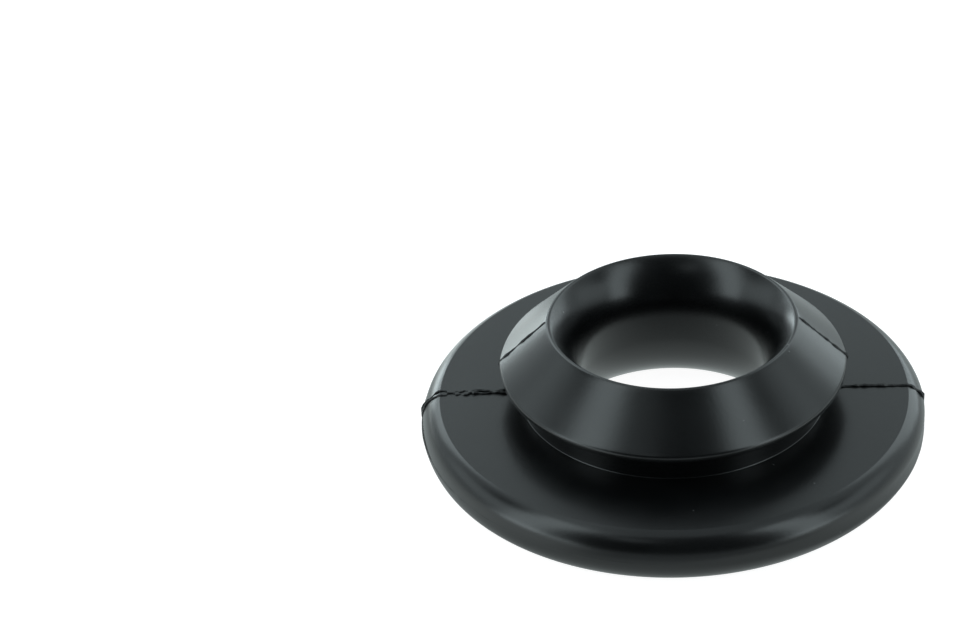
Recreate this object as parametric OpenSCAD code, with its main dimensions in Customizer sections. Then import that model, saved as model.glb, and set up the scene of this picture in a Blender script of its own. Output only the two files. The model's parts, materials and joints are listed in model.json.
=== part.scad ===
// Snap-in rubber bushing: a round flange, a grooved neck, a tapered barb
// and an hourglass bore, moulded as one piece. Millimetres, +Z up. The part
// lies on the flat front face of its flange, with the bore's axis on Z.

/* [Flange] */
// Outer diameter of the flange
flange_d = 48.2; // [42:0.1:60]
// Thickness of the flange, from its front face to its back face
flange_t = 5.5; // [4.5:0.1:7]
// How much the rim's round exceeds half the thickness, which leaves an edge along the back face
rim_extra = 0.1; // [0.02:0.02:0.5]

/* [Neck] */
// Diameter of the neck, which fills the panel's hole
neck_d = 29; // [27:0.1:30]
// Width of the groove between the flange and the barb
groove_w = 3; // [1.5:0.1:6]
// Fillet in both corners of the groove
groove_fillet = 0.15; // [0.1:0.05:0.7]

/* [Barb] */
// Largest diameter of the barb
barb_d = 32.7; // [32:0.1:36]
// Straight height of the barb's outer wall, between its two edge rounds
barb_land = 0.2; // [0.2:0.05:3]
// Radius of the round along the barb's lower outer edge
heel_round = 0.2; // [0.1:0.05:0.7]
// Radius of the round between the barb's outer wall and its cone
shoulder_round = 0.5; // [0.1:0.05:0.7]
// Height of the cone, from the barb's outer wall to the nose
nose_h = 4.6; // [2.5:0.1:7]
// Diameter of the circle along the top of the nose
nose_d = 23.3; // [22.5:0.1:25]
// Radius of the round along the top of the nose
lip_round = 0.3; // [0.15:0.05:0.6]

/* [Bore] */
// Diameter of the bore at its straight waist
bore_d = 18; // [14:0.1:19.5]
// Length of the straight waist, midway along the bore
waist_l = 2.5; // [1:0.1:4]
// Diameter at which the front mouth's edge meets the front face
mouth_d = 24.4; // [23.5:0.1:27]
// Radius of the round along the front mouth's edge
mouth_round = 1; // [0.2:0.1:1.2]

/* [Hidden] */
$fn = 128;
// How far a cut runs past the faces that it opens
past = 1;

flange_r = flange_d / 2;
neck_r = neck_d / 2;
barb_r = barb_d / 2;
nose_r = nose_d / 2;
bore_r = bore_d / 2;
mouth_r = mouth_d / 2;
rim_round = flange_t / 2 + rim_extra;

barb_z = flange_t + groove_w;
barb_low_z = barb_z + heel_round;
barb_high_z = barb_low_z + barb_land;
total_h = barb_high_z + nose_h;
waist_low_z = (total_h - waist_l) / 2;
waist_high_z = (total_h + waist_l) / 2;

// The point at an angle on a circle
function on_circle(centre, radius, angle) = centre + radius * [cos(angle), sin(angle)];

// The direction of the line's normal, where a line lies on two circles' right-hand side
function belt_normal(from, from_radius, to, to_radius) =
    atan2(to.y - from.y, to.x - from.x) - acos((from_radius - to_radius) / norm(to - from));

// The radius of a funnel's wall, which runs from the waist into the mouth's edge round
function funnel_radius(mouth, edge, depth) =
    ((mouth - bore_r) ^ 2 + (depth - edge) ^ 2 - edge ^ 2) / (2 * (mouth - bore_r - edge));

// A square by its lowest and highest corners
module span(low, high) {
    translate(low) square(high - low);
}

module disc_at(centre, radius) {
    translate(centre) circle(radius);
}

// The flange's half section: its rim's round runs out of the front face and is cut off by the back face
module flange_section() {
    span([0, 0], [flange_r - rim_round, flange_t]);
    intersection() {
        disc_at([flange_r - rim_round, rim_round], rim_round);
        span([0, 0], [flange_r, flange_t]);
    }
}

// The neck's half section, with a fillet in each corner of the groove
module neck_section() {
    span([0, 0], [neck_r, barb_low_z]);
    difference() {
        span([0, 0], [neck_r + groove_fillet, barb_low_z]);
        span([neck_r, flange_t + groove_fillet], [barb_r, barb_z - groove_fillet]);
        for (z = [flange_t + groove_fillet, barb_z - groove_fillet])
            disc_at([neck_r + groove_fillet, z], groove_fillet);
    }
}

// The barb's half section: an outer wall with two round edges, and a cone up to the nose
module barb_section() {
    heel = [barb_r - heel_round, barb_low_z];
    shoulder = [barb_r - shoulder_round, barb_high_z];
    lip = [nose_r, total_h - lip_round];
    normal = belt_normal(shoulder, shoulder_round, lip, lip_round);
    polygon([
        [0, barb_z],
        [heel.x, barb_z],
        [barb_r, heel.y],
        [barb_r, shoulder.y],
        on_circle(shoulder, shoulder_round, normal),
        on_circle(lip, lip_round, normal),
        [lip.x, total_h],
        [0, total_h],
    ]);
    disc_at(heel, heel_round);
    disc_at(shoulder, shoulder_round);
    disc_at(lip, lip_round);
}

// A funnel's half section, from the mouth's face at zero up to the waist at its depth
module funnel_section(mouth, edge, depth) {
    wall = funnel_radius(mouth, edge, depth);
    wall_at = [bore_r + wall, depth];
    edge_at = [mouth, edge];
    join_at = wall_at + (edge_at - wall_at) * wall / (wall - edge);
    difference() {
        span([0, -past], [mouth, depth]);
        disc_at(wall_at, wall);
    }
    difference() {
        span([0, -past], [mouth, join_at.y]);
        disc_at(edge_at, edge);
    }
}

// The bore's half section: a straight waist between the front funnel and the nose funnel
module bore_section() {
    span([0, -past], [bore_r, total_h + past]);
    funnel_section(mouth_r, mouth_round, waist_low_z);
    translate([0, total_h]) mirror([0, 1])
        funnel_section(nose_r, lip_round, total_h - waist_high_z);
}

module bushing() {
    color("#1c1d1f")
    rotate_extrude()
    difference() {
        union() {
            flange_section();
            neck_section();
            barb_section();
        }
        bore_section();
    }
}

bushing();
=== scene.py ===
import json
import math

import bmesh
import bpy
from mathutils import Matrix, Vector, noise


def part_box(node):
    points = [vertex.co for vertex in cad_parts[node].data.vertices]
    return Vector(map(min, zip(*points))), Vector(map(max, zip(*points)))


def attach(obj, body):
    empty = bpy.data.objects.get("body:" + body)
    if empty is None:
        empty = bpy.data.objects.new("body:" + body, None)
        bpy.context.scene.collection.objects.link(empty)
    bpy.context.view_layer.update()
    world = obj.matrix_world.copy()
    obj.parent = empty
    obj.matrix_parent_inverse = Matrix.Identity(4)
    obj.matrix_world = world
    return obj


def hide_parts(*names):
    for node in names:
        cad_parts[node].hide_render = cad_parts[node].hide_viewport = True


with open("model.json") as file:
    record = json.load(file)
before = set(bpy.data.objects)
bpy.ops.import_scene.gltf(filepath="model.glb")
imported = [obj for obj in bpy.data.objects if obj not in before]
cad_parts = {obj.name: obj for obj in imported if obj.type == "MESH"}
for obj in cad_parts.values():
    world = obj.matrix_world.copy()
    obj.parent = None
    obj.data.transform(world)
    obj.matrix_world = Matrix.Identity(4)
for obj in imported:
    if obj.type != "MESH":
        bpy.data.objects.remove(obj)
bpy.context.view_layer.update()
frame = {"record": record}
mm = 0.001
tiny = 0.01  # mm, too small to tell two places apart
mounts = {mount["name"]: mount for mount in frame["record"]["mounts"]}
low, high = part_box("bushing")
print("frame loaded, bushing is", [round((b - a) / mm, 2) for a, b in zip(low, high)], "mm")


# shader maths

class Shade:
    def __init__(self, tree, socket):
        self.tree = tree
        self.socket = socket

    def math(self, operation, other=None, swap=False):
        pair = (other, self) if swap else (self, other)
        return makeNode(self.tree, "ShaderNodeMath", {"operation": operation},
                        {i: v for i, v in enumerate(pair) if v is not None})

    def __add__(self, other):
        return self.math("ADD", other)

    def __radd__(self, other):
        return self.math("ADD", other, True)

    def __sub__(self, other):
        return self.math("SUBTRACT", other)

    def __rsub__(self, other):
        return self.math("SUBTRACT", other, True)

    def __mul__(self, other):
        return self.math("MULTIPLY", other)

    def __rmul__(self, other):
        return self.math("MULTIPLY", other, True)


def makeNode(tree, kind, settings=None, sockets=None, output=0):
    made = tree.nodes.new(kind)
    for name, value in (settings or {}).items():
        setattr(made, name, value)
    for name, value in (sockets or {}).items():
        if isinstance(value, Shade):
            tree.links.new(value.socket, made.inputs[name])
        else:
            made.inputs[name].default_value = value
    return Shade(tree, made.outputs[output]) if made.outputs else None


def smoothBetween(value, start, end, first=0.0, last=1.0):
    return makeNode(value.tree, "ShaderNodeMapRange", {"interpolation_type": "SMOOTHSTEP"},
                    {0: value, 1: start, 2: end, 3: first, 4: last})


def mixColours(share, first, second):
    return makeNode(share.tree, "ShaderNodeMix", {"data_type": "RGBA"},
                    {0: share, 6: first, 7: second}, output=2)


# the outline of the moulding, in mm, drawn from the waist round the outside and back

bushing = {
    "flangeThickness": 5.5,
    "rimExtra": 0.12,  # by which the rim's round exceeds half the thickness, so the back face cuts it off
    "grooveFillet": 0.1,
    "barbRadius": 16.35,
    "barbLand": 0.2,
    "heelRound": 0.2,
    "shoulderRound": 0.5,
    "noseRadius": 11.65,
    "lipRound": 0.3,
    "mouthRadius": 12.2,
    "mouthRound": 1.0,
    "flashRoom": 0.045,  # how far the flash stands proud of the rim, inside the full diameter
    "roundStep": 4.0,  # degrees for each step of a round
    "smallStep": 12.0,
    "lipStep": 8.0,
    "funnelStep": 2.0,
    "turns": 360,
    # points inside each straight
    "cuts": {"front": 12, "back": 24, "neck": 4, "heel": 2, "land": 1, "cone": 14, "waist": 4},
}
flangeRadius, height = (high.x - low.x) / 2 / mm, (high.z - low.z) / mm
boreRadius, waist = (mounts["bore"]["dims"][name] for name in ("r_mm", "length_mm"))
neckRadius, groove = (mounts["panel_groove"]["dims"][name] for name in ("r_mm", "length_mm"))
rimRadius = flangeRadius - bushing["flashRoom"]
rimRound = bushing["flangeThickness"] / 2 + bushing["rimExtra"]
rimTurn = math.asin(bushing["flangeThickness"] / rimRound - 1)
barbLow = bushing["flangeThickness"] + groove

# traces of the mould: two jaws meet in the plane y = 0 above the rim, and a plate closes them from below

parting = {
    "rimRidge": 0.05,  # mm that the skin rises towards the parting plane
    "barbRidge": 0.13,
    "ridgeFade": 7.0,  # degrees
    "lipTurn": 2.0,  # degrees of the rim's round on each side of the thin lip's crest
    "lipProud": 0.025,
    "lipRagged": 0.03,
    "lipRaggedLength": 1.1,
    "lipFlare": 0.04,  # extra where the lip meets the parting plane
    "lipFlareFade": 16.0,  # degrees
    "mismatch": 0.16,  # mm by which the jaws stand off the plate, to +X
    "stepFade": 24.0,  # degrees off the parting plane, where the step at the lip is gone
    "boreFade": 8.0,  # mm up the bore, over which it follows the jaws
    "boreInside": 0.5,  # mm inside the neck, where the bore's share of the skin begins
    "rimOutside": 1.0,  # mm outside the barb, where the rim's share begins
    "wobble": 0.012,  # mm of unevenness in the skin
    "wobbleLength": 5.0,
}


class Outline:
    def __init__(self, bm, x, z):
        self.bm = bm
        self.tip = bm.verts.new((x, 0, z))

    def lineTo(self, x, z, cuts=0):
        start, end = self.tip.co.copy(), Vector((x, 0, z))
        for cut in range(cuts + 1):
            self.tip = bmesh.ops.extrude_vert_indiv(self.bm, verts=[self.tip])["verts"][0]
            self.tip.co = start.lerp(end, (cut + 1) / (cuts + 1))

    def arc(self, x, z, degrees, step=bushing["roundStep"]):
        steps = max(3, round(abs(degrees) / step))
        made = bmesh.ops.spin(self.bm, geom=[self.tip], cent=(x, 0, z), axis=(0, -1, 0),
                              angle=math.radians(degrees), steps=steps)
        self.tip = next(item for item in made["geom_last"] if isinstance(item, bmesh.types.BMVert))


def funnelWall(mouth, edge, depth):
    # radius of the wall that leaves the waist upright and runs into the edge's round, and its turn
    wall = ((mouth - boreRadius) ** 2 + (depth - edge) ** 2 - edge ** 2) / (2 * (mouth - boreRadius - edge))
    return wall, math.degrees(math.atan2(depth - edge, boreRadius + wall - mouth))


def shoulderCentre():
    b = bushing
    return Vector((b["barbRadius"] - b["shoulderRound"], barbLow + b["heelRound"] + b["barbLand"]))


def coneNormal():
    # degrees above level, where the cone lies on the shoulder's round and on the lip's
    b = bushing
    run = Vector((b["noseRadius"], height - b["lipRound"])) - shoulderCentre()
    lean = math.acos((b["shoulderRound"] - b["lipRound"]) / run.length)
    return math.degrees(math.atan2(run.y, run.x) - lean)


def drawFlangeBack(path):
    # from the rim up its round, which the back face cuts off at an edge, and in to the neck
    b, p = bushing, parting
    path.arc(rimRadius - rimRound, rimRound, p["lipTurn"])
    path.arc(rimRadius - rimRound, rimRound, math.degrees(rimTurn) - p["lipTurn"])
    path.lineTo(neckRadius + b["grooveFillet"], b["flangeThickness"], b["cuts"]["back"])


def drawBarb(path):
    # from the barb's lower edge over its shoulder and up the cone
    b = bushing
    shoulder = shoulderCentre()
    slope = coneNormal()
    path.lineTo(b["barbRadius"], shoulder.y, b["cuts"]["land"])
    path.arc(*shoulder, slope)
    across = b["lipRound"] * math.cos(math.radians(slope))
    up = b["lipRound"] * math.sin(math.radians(slope))
    path.lineTo(b["noseRadius"] + across, height - b["lipRound"] + up, b["cuts"]["cone"])


def drawOutline(bm):
    b, p = bushing, parting
    cuts, fillet = b["cuts"], b["grooveFillet"]
    waistLow, waistHigh = (height - waist) / 2, (height + waist) / 2
    path = Outline(bm, boreRadius, waistLow)
    wall, turn = funnelWall(b["mouthRadius"], b["mouthRound"], waistLow)
    path.arc(boreRadius + wall, waistLow, turn, b["funnelStep"])
    path.arc(b["mouthRadius"], b["mouthRound"], 90 - turn)
    path.lineTo(rimRadius - rimRound, 0, cuts["front"])
    path.arc(rimRadius - rimRound, rimRound, 90 - p["lipTurn"])
    path.arc(rimRadius - rimRound, rimRound, p["lipTurn"])
    drawFlangeBack(path)
    path.arc(neckRadius + fillet, b["flangeThickness"] + fillet, -90, b["smallStep"])
    path.lineTo(neckRadius, barbLow - fillet, cuts["neck"])
    path.arc(neckRadius + fillet, barbLow - fillet, -90, b["smallStep"])
    path.lineTo(b["barbRadius"] - b["heelRound"], barbLow, cuts["heel"])
    path.arc(b["barbRadius"] - b["heelRound"], barbLow + b["heelRound"], 90, b["smallStep"])
    drawBarb(path)
    wall, turn = funnelWall(b["noseRadius"], b["lipRound"], height - waistHigh)
    path.arc(b["noseRadius"], height - b["lipRound"], 180 - turn - coneNormal(), b["lipStep"])
    path.arc(boreRadius + wall, waistHigh, turn, b["funnelStep"])
    path.lineTo(boreRadius, waistLow, cuts["waist"])
    bmesh.ops.remove_doubles(bm, verts=bm.verts, dist=1e-4)


def ragged(place, length):
    # smooth noise about 0, the same on each run
    return noise.noise(Vector(place) / length)


def ease(value, start, end):
    share = min(1, max(0, (value - start) / (end - start)))
    return share * share * (3 - 2 * share)


def standOff(place):
    # mm along X: a step at the rim's lip, which fades to a smooth change, as down the bore
    p = parting
    if place.xy.length < neckRadius - p["boreInside"]:
        return p["mismatch"] * ease(place.z, 0, p["boreFade"])
    if place.z > rimRound + tiny:
        return p["mismatch"]
    fromPlane = math.degrees(math.asin(min(1, abs(place.y) / place.xy.length)))
    return p["mismatch"] * ease(place.z, 0, rimRound) * ease(fromPlane, 0, p["stepFade"])


def onCrease(vert):
    # along the edge where the back face cuts off the rim's round
    creaseRadius = rimRadius - rimRound * (1 - math.cos(rimTurn))
    return (abs(vert.co.z - bushing["flangeThickness"]) < tiny
            and abs(vert.co.xy.length - creaseRadius) < tiny)


def onPartingLine(vert):
    return abs(vert.co.y) < tiny and vert.co.xy.length > bushing["noseRadius"]


def addMouldTraces(bm):
    p = parting
    bm.normal_update()
    lipReach = rimRound * math.radians(p["lipTurn"]) / 4  # takes in the crest alone
    for edge in bm.edges:
        edge.smooth = not all(onCrease(vert) for vert in edge.verts)
    for vert in bm.verts:
        around = Vector((vert.co.x, vert.co.y, 0))
        outward = around.normalized()
        fromPlane = math.degrees(math.asin(min(1, abs(outward.y))))
        facing = max(0, vert.normal.dot(outward))
        upRim = min(1, vert.co.z / rimRound)
        onRim = around.length > bushing["barbRadius"] + p["rimOutside"]
        ridge = p["rimRidge"] * upRim if onRim else p["barbRidge"]
        push = facing * ridge * math.exp(-fromPlane / p["ridgeFade"])
        push += facing * upRim * p["wobble"] * ragged(vert.co, p["wobbleLength"])
        if onRim and abs(vert.co.z - rimRound) < lipReach:
            push += p["lipProud"] + p["lipRagged"] * ragged(vert.co, p["lipRaggedLength"])
            push += p["lipFlare"] * math.exp(-fromPlane / p["lipFlareFade"])
        vert.co.x += standOff(vert.co)
        if onRim:
            push = min(push, rimRadius - vert.co.xy.length)  # the flash alone stands past the rim
        vert.co += outward * push
    for edge in bm.edges:
        if all(onPartingLine(vert) for vert in edge.verts):
            edge.smooth = False


def finishMesh(bm, name, material):
    bmesh.ops.recalc_face_normals(bm, faces=bm.faces)
    bmesh.ops.scale(bm, vec=(mm, mm, mm), verts=bm.verts)
    for face in bm.faces:
        face.smooth = True
    mesh = bpy.data.meshes.new(name)
    bm.to_mesh(mesh)
    bm.free()
    piece = bpy.data.objects.new(name, mesh)
    bpy.context.scene.collection.objects.link(piece)
    mesh.materials.append(material)
    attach(piece, "root")
    print(name, "made,", len(mesh.polygons), "faces")
    return piece


# black moulded rubber

rubber = {
    "colour": (0.0016, 0.0018, 0.0020),
    "bloom": (0.0030, 0.0033, 0.0036),  # faint cloudy bloom on the skin
    "bloomFrom": (0.35, 0.75),  # of the clouds
    "clouds": {"Scale": 140.0, "Detail": 3.0, "Roughness": 0.55},  # scale in waves for each metre
    "roughness": 0.25,
    "roughnessSpread": 0.07,
    "index": 1.5,  # of refraction
    "grain": {"Scale": 2600.0, "Detail": 2.0, "Roughness": 0.6},
    "grainDepth": 0.000004,
    "dust": (0.08, 0.082, 0.082),
    "dustCells": 380.0,  # cells for each metre, each with one speck somewhere inside
    "dustSize": (0.015, 0.045),  # radius as a share of a cell
}


def makeRubber():
    material = bpy.data.materials.new("blackRubber")
    material.use_nodes = True
    tree = material.node_tree
    tree.nodes.clear()
    place = makeNode(tree, "ShaderNodeTexCoord", output=3)
    cloud = makeNode(tree, "ShaderNodeTexNoise", None, {"Vector": place, **rubber["clouds"]})
    grain = makeNode(tree, "ShaderNodeTexNoise", None, {"Vector": place, **rubber["grain"]})
    bloomed = smoothBetween(cloud, *rubber["bloomFrom"])
    colour = mixColours(bloomed, (*rubber["colour"], 1), (*rubber["bloom"], 1))
    cell = makeNode(tree, "ShaderNodeTexVoronoi", None, {"Vector": place, "Scale": rubber["dustCells"]})
    speck = smoothBetween(cell, *rubber["dustSize"], 1, 0)
    colour = mixColours(speck, colour, (*rubber["dust"], 1))
    rough = rubber["roughness"] + rubber["roughnessSpread"] * (cloud - 0.5)
    bump = makeNode(tree, "ShaderNodeBump", None,
                    {"Strength": 1.0, "Distance": rubber["grainDepth"], "Height": grain})
    shader = makeNode(tree, "ShaderNodeBsdfPrincipled", None,
                      {"Base Color": colour, "Roughness": rough, "IOR": rubber["index"], "Normal": bump})
    makeNode(tree, "ShaderNodeOutputMaterial", None, {"Surface": shader})
    return material


blackRubber = makeRubber()
bm = bmesh.new()
drawOutline(bm)
bmesh.ops.spin(bm, geom=bm.verts[:] + bm.edges[:], cent=(0, 0, 0), axis=(0, 0, 1), angle=math.tau,
               steps=bushing["turns"], use_merge=True)
bmesh.ops.remove_doubles(bm, verts=bm.verts, dist=1e-5)
bmesh.ops.recalc_face_normals(bm, faces=bm.faces)
addMouldTraces(bm)
body = finishMesh(bm, "bushingBody", blackRubber)
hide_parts("bushing")


# flash: ragged ridges of rubber that squeezed out between the mould's halves

flash = {
    "step": 0.18,  # mm between the points of a ridge
    "sink": 0.05,
    "ragged": 0.9,  # share of the height that comes and goes
    "raggedLength": 0.6,
    "widthRagged": 0.5,  # share of the width
    "wander": 0.05,  # mm off the parting plane
    "wanderLength": 1.2,
    "pairOpens": (1.4, 3.2),  # mm along the outline from the rim
    "pairCloses": (5.8, 6.6),
    "pairMerge": 0.5,
    "pairPinch": 0.9,  # share of the gap that closes by turns
    "pinchFull": 0.3,  # the noise at which it has closed
    "pinchLength": 0.8,
    "mergeGrow": 1.1,  # by which the pair's ridges grow where they run together
    "nubAt": 1.2,  # mm along the outline
    "nubLength": 0.4,
    "ridges": {  # side, outline, width, height, gap between a pair, rim nub
        "flashLeftNear": (-1, drawFlangeBack, 0.16, 0.11, -0.36, 0),
        "flashLeftFar": (-1, drawFlangeBack, 0.16, 0.11, 0.36, 0.1),
        "flashRight": (1, drawFlangeBack, 0.42, 0.2, 0, 0.26),
        "flashLeftCone": (-1, drawBarb, 0.24, 0.11, 0, 0),
        "flashRightCone": (1, drawBarb, 0.24, 0.11, 0, 0),
    },
}


def chainEdges(chain):
    return [edge for edge in {e for vert in chain for e in vert.link_edges} if set(edge.verts) <= set(chain)]


def copyChain(bm, chain):
    made = set(bmesh.ops.extrude_edge_only(bm, edges=chainEdges(chain))["geom"])
    return [next(e.other_vert(vert) for e in vert.link_edges if e.other_vert(vert) in made)
            for vert in chain]


def walkChain(vert):
    chain = [vert]
    while True:
        ahead = [e.other_vert(chain[-1]) for e in chain[-1].link_edges]
        ahead = [other for other in ahead if other not in chain[-2:]]
        if not ahead:
            return chain
        chain.append(ahead[0])


def makeFlash(name, side, draw, width, tall, gap, nub):
    f = flash
    bm = bmesh.new()
    onRim = draw is drawFlangeBack
    start = (rimRadius, rimRound) if onRim else (bushing["barbRadius"], barbLow + bushing["heelRound"])
    ridge = parting["rimRidge"] if onRim else parting["barbRidge"]
    shift = side * parting["mismatch"]
    draw(Outline(bm, *start))
    for edge in bm.edges[:]:
        cuts = int(edge.calc_length() / f["step"])
        if cuts:
            bmesh.ops.subdivide_edges(bm, edges=[edge], cuts=cuts)
    near = walkChain(min(bm.verts, key=lambda vert: (vert.co.xz - Vector(start)).length))
    crest = copyChain(bm, near)
    far = copyChain(bm, crest)
    places = [vert.co.copy() for vert in near]
    along = 0
    for i, place in enumerate(places):
        behind, ahead = places[max(0, i - 1)], places[min(len(places) - 1, i + 1)]
        along += (place - places[max(0, i - 1)]).length
        run = (ahead - behind).normalized()
        outward = Vector((run.z, 0, -run.x))
        seat = place + Vector((max(0, outward.x) * ridge, 0, 0))
        if onRim:
            seat.x = min(seat.x, rimRadius - shift)
        # each bit of unevenness is read along its own line of the noise
        opened, closed = ease(along, *f["pairOpens"]), ease(along, *f["pairCloses"])
        pinch = f["pairPinch"] * ease(ragged((along, 5, 0), f["pinchLength"]), 0, f["pinchFull"])
        apart = gap * opened * (1 - pinch) * (1 - f["pairMerge"] * closed)
        middle = apart + f["wander"] * ragged((along, side, gap), f["wanderLength"])
        rise = tall * (1 + f["ragged"] * ragged((along, side * 7, gap * 9), f["raggedLength"]))
        knob = nub * math.exp(-((along - f["nubAt"]) / f["nubLength"]) ** 2)
        uneven = f["widthRagged"] * ragged((along, side * 3, gap), f["raggedLength"])
        half = width / 2 * (1 + uneven) + knob
        grown = 1 + f["mergeGrow"] * max(closed, 1 - opened) if gap else 1
        half, rise = half * grown, rise * grown + knob
        if onRim:
            # no further than the full diameter
            rise = min(rise, (flangeRadius - seat.x - shift) / max(outward.x, tiny))
        near[i].co = seat - outward * f["sink"] + Vector((0, middle - half, 0))
        crest[i].co = seat + outward * rise + Vector((0, middle, 0))
        far[i].co = seat - outward * f["sink"] + Vector((0, middle + half, 0))
    bmesh.ops.bridge_loops(bm, edges=chainEdges(near) + chainEdges(far))
    bmesh.ops.holes_fill(bm, edges=[edge for edge in bm.edges if edge.is_boundary], sides=4)
    bmesh.ops.scale(bm, vec=(side, 1, 1), verts=bm.verts)
    bmesh.ops.translate(bm, vec=(parting["mismatch"], 0, 0), verts=bm.verts)
    return finishMesh(bm, name, blackRubber)


for name, ridge in flash["ridges"].items():
    makeFlash(name, *ridge)


# camera, set as the photograph was taken: the image's centre looks at a point on the table

camera = {
    "lookAt": (-17.16, 22.70),  # mm on the table, right and away as the camera sees it
    "distance": 309.14,
    "elevation": 32.79,
    "roll": -3.22,
    "azimuth": 3.95,  # turn of the camera against the parting plane
    "focal": 110.88,
    "sensor": 36.0,
    "clipStart": 0.01,  # metres
}


def fromCamera(azimuth, elevation):
    # direction in the part's frame; azimuth 0 is towards the camera, positive to its right
    a, e = math.radians(azimuth), math.radians(elevation)
    seen = Vector((math.sin(a) * math.cos(e), -math.cos(a) * math.cos(e), math.sin(e)))
    return Matrix.Rotation(math.radians(camera["azimuth"]), 3, "Z") @ seen


def addCamera():
    turn = Matrix.Rotation(math.radians(camera["azimuth"]), 3, "Z")
    back = fromCamera(0, camera["elevation"])
    side = turn @ Vector((1, 0, 0))
    up = back.cross(side)
    roll = math.radians(camera["roll"])
    right = math.cos(roll) * side + math.sin(roll) * up
    above = back.cross(right)
    data = bpy.data.cameras.new("photoCamera")
    data.lens, data.sensor_width = camera["focal"], camera["sensor"]
    data.clip_start = camera["clipStart"]
    seen = bpy.data.objects.new("photoCamera", data)
    target = turn @ Vector((*camera["lookAt"], 0))
    matrix = Matrix((right, above, back)).transposed().to_4x4()
    matrix.translation = (target + back * camera["distance"]) * mm
    seen.matrix_world = matrix
    bpy.context.scene.collection.objects.link(seen)
    bpy.context.scene.camera = seen


addCamera()
print("camera set")


# studio: a white tent, dark towards the camera, with softboxes at its sides and rear

studio = {
    "tent": 0.8,
    "zenith": 0.58,
    "zenithFrom": (62, 82),  # degrees above level
    "dark": 0.04,
    "darkSpots": {  # azimuth and elevation of the centre, and degrees from full dark to full tent
        "camera": (-2, 22, 42, 49),
        "leftGap": (-97, 44, 0, 12),
        "rearGap": (174, 50, 5, 15),
        "rightGap": (76, 42, 0, 11),
        "rightTop": (31, 57, 3, 12),
    },
    "tint": (0.87, 1.0, 1.03),  # a little cool
    "softboxes": {  # azimuth, elevation, width and height in degrees, radiance over the tent's
        "leftBox": (-70, 30, 20, 60, 1.6),
        "leftHigh": (-66, 47, 13, 20, 0.06),
        "leftCard": (-63, 3, 38, 10, 1.25),
        "rightBox": (53, 29, 19, 56, 1.55),
        "rightHigh": (53, 46, 13, 20, 0.08),
        "rightCard": (56, 3, 30, 7, 1.15),
        "frontCard": (0, 3, 80, 6, 0.22),
        "frontHigh": (-26, 49, 13, 12, 0.5),
        "rearCard": (178, 27, 44, 12, 0.3),
        "leftSide": (-103, 22, 30, 18, 0.42),
        "rightSide": (86, 24, 30, 18, 0.42),
        "rearLeftBox": (-150, 36, 33, 38, 1.45),
        "rearLeftLow": (-152, 6, 14, 12, 3.4),
        "rearRightBox": (134, 32, 29, 45, 1.08),
        "rearRightLow": (141, 4, 25, 8, 1.35),
        "topLeft": (-125, 68, 50, 20, 0.4),
    },
    "reach": 0.7,  # metres from the bushing to a softbox
    "watts": 4.0,  # for each square metre of a softbox and each unit of its radiance
}


def rayIs(tree, kind):
    return makeNode(tree, "ShaderNodeLightPath", output="Is " + kind + " Ray")


def dot(place, direction):
    return makeNode(place.tree, "ShaderNodeVectorMath", {"operation": "DOT_PRODUCT"},
                    {0: place, 1: direction}, output=1)


def addTent():
    world = bpy.data.worlds.new("tent")
    bpy.context.scene.world = world
    world.use_nodes = True
    tree = world.node_tree
    tree.nodes.clear()
    direction = makeNode(tree, "ShaderNodeTexCoord", output=0)
    lowest, highest = (math.sin(math.radians(angle)) for angle in studio["zenithFrom"])
    level = smoothBetween(dot(direction, (0, 0, 1)), lowest, highest, studio["tent"], studio["zenith"])
    for azimuth, elevation, *size in studio["darkSpots"].values():
        inner, outer = (math.cos(math.radians(angle)) for angle in size)
        dark = smoothBetween(dot(direction, fromCamera(azimuth, elevation)), outer, inner)
        level = level + dark * (studio["dark"] - level)
    toCamera = rayIs(tree, "Camera")
    colour = mixColours(toCamera, (*studio["tint"], 1), (1, 1, 1, 1))
    shade = makeNode(tree, "ShaderNodeBackground", None,
                     {"Color": colour, "Strength": level + toCamera * (1 - level)})
    makeNode(tree, "ShaderNodeOutputWorld", None, {"Surface": shade})


def addSoftbox(name, azimuth, elevation, width, height, radiance):
    light = bpy.data.lights.new(name, "AREA")
    light.shape = "RECTANGLE"
    light.color = studio["tint"]
    light.size = 2 * studio["reach"] * math.tan(math.radians(width) / 2)
    light.size_y = 2 * studio["reach"] * math.tan(math.radians(height) / 2)
    light.energy = studio["watts"] * radiance * light.size * light.size_y
    box = bpy.data.objects.new(name, light)
    away = fromCamera(azimuth, elevation)
    box.location = away * studio["reach"]
    box.rotation_euler = away.to_track_quat("Z", "Y").to_euler()
    bpy.context.scene.collection.objects.link(box)


# the table: white to the camera, and in reflections a glow of painted light and shade: lit from the sides,
# with its front in the dark, a painted shadow close to the rim and painted shade under the bore

table = {
    "size": 3.0,  # metres from its middle to its edges
    "below": 0.02,  # mm under the bushing
    "grey": 0.3,
    "tint": (0.9, 1.0, 0.99),  # in reflections
    "shown": 0.95,  # glow to the camera
    "rear": 0.3,
    "side": 0.9,
    "sideFrom": (-1.0, 0.6),  # cosine of the angle off the camera's direction
    "front": (0.52, 0.15),  # painted shade on the front, near the rim and far out
    "frontOut": (25, 38),  # mm
    "frontFrom": (0.72, 0.93),
    "right": 0.85,  # share of the painted light on the right
    "rightFrom": (0.2, 0.9),
    "contact": 0.4,  # share of the light close to the rim, a painted shadow of the bushing
    "nearRim": (23, 32),  # mm
    "bright": (0.9, 2.2),  # near and far out, in a painted bright stretch at the rear left
    "brightAt": -143,  # azimuth off the camera's direction
    "brightFrom": (0.96, 0.992),
    "brightOut": (55, 115),  # mm
    "bore": (0.85, 0.1),  # far and near: painted shade under the bore
    "boreReach": 9.0,  # mm
    "boreEdge": (13, 15),
}


def inMetres(lengths):
    return [length * mm for length in lengths]


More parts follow.
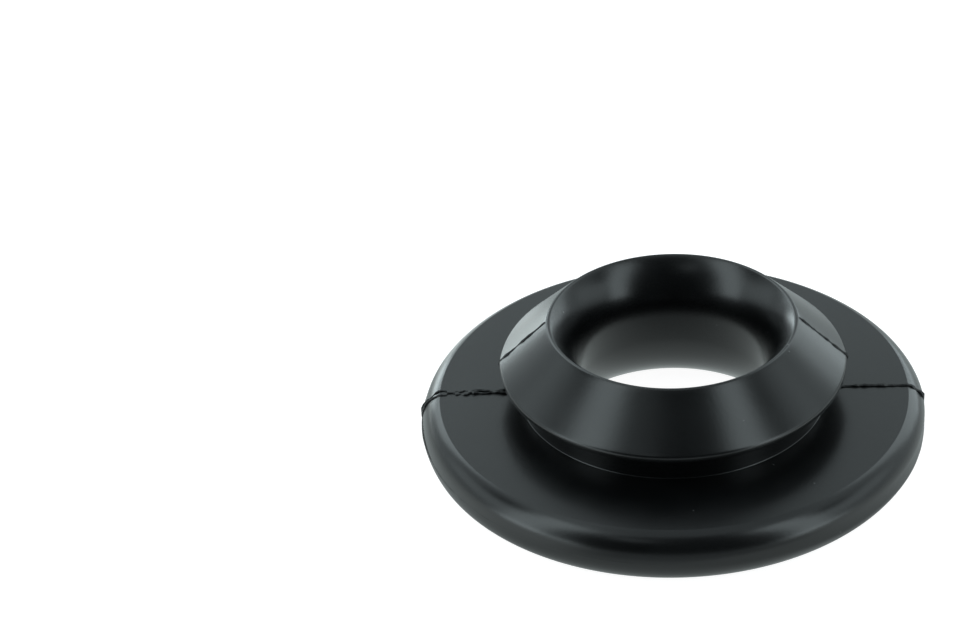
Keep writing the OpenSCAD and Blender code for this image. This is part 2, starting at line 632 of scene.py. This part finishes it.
def reflectedTable(tree):
    # the level of the table as the rubber reflects it: painted light and shade, with a painted shadow close
    # to the rim, painted shade on the front and under the bore, and a painted bright stretch at the rear
    # left
    t = table
    place = makeNode(tree, "ShaderNodeTexCoord", output=3)
    radius = makeNode(tree, "ShaderNodeVectorMath", {"operation": "LENGTH"}, {0: place}, output=1)
    ahead = dot(place, fromCamera(0, 0))
    turned = ahead.math("DIVIDE", radius)
    # painted light from the sides, weaker to the rear
    level = smoothBetween(turned, *t["sideFrom"], t["rear"], t["side"])
    # painted shadow of the bushing close to the rim
    level = level * smoothBetween(radius, *inMetres(t["nearRim"]), t["contact"], 1)
    rightward = dot(place, fromCamera(90, 0)).math("DIVIDE", radius)
    level = level * smoothBetween(rightward, *t["rightFrom"], 1, t["right"])
    # painted shade on the front
    front = smoothBetween(radius, *inMetres(t["frontOut"]), *t["front"])
    level = level + smoothBetween(turned, *t["frontFrom"]) * (front - level)
    # painted bright stretch at the rear left
    rearward = dot(place, fromCamera(t["brightAt"], 0)).math("DIVIDE", radius)
    bright = smoothBetween(radius, *inMetres(t["brightOut"]), *t["bright"])
    level = level + bright * smoothBetween(rearward, *t["brightFrom"])
    # painted shade under the bore
    under = smoothBetween(ahead, -t["boreReach"] * mm, t["boreReach"] * mm, *t["bore"])
    outside = smoothBetween(radius, *inMetres(t["boreEdge"]))
    return under + outside * (level - under)


def addTable():
    bm = bmesh.new()
    bmesh.ops.create_grid(bm, x_segments=1, y_segments=1, size=table["size"])
    bmesh.ops.translate(bm, vec=(0, 0, -table["below"] * mm), verts=bm.verts)
    mesh = bpy.data.meshes.new("table")
    bm.to_mesh(mesh)
    bm.free()
    top = bpy.data.objects.new("table", mesh)
    bpy.context.scene.collection.objects.link(top)
    material = bpy.data.materials.new("whiteTable")
    material.use_nodes = True
    tree = material.node_tree
    tree.nodes.clear()
    grey = table["grey"]
    diffuse = makeNode(tree, "ShaderNodeBsdfDiffuse", None, {"Color": (grey, grey, grey, 1)})
    reflected = rayIs(tree, "Glossy").math("MAXIMUM", rayIs(tree, "Transmission"))
    # the table glows evenly white to the camera, and with painted light and shade in reflections
    glow = rayIs(tree, "Camera") * table["shown"] + reflected * reflectedTable(tree)
    colour = mixColours(reflected, (1, 1, 1, 1), (*table["tint"], 1))
    glow = makeNode(tree, "ShaderNodeEmission", None, {"Color": colour, "Strength": glow})
    both = makeNode(tree, "ShaderNodeAddShader", None, {0: diffuse, 1: glow})
    makeNode(tree, "ShaderNodeOutputMaterial", None, {"Surface": both})
    mesh.materials.append(material)


addTent()
for name, place in studio["softboxes"].items():
    addSoftbox(name, *place)
addTable()
print("studio lit")

bpy.context.scene.view_settings.view_transform = "Standard"
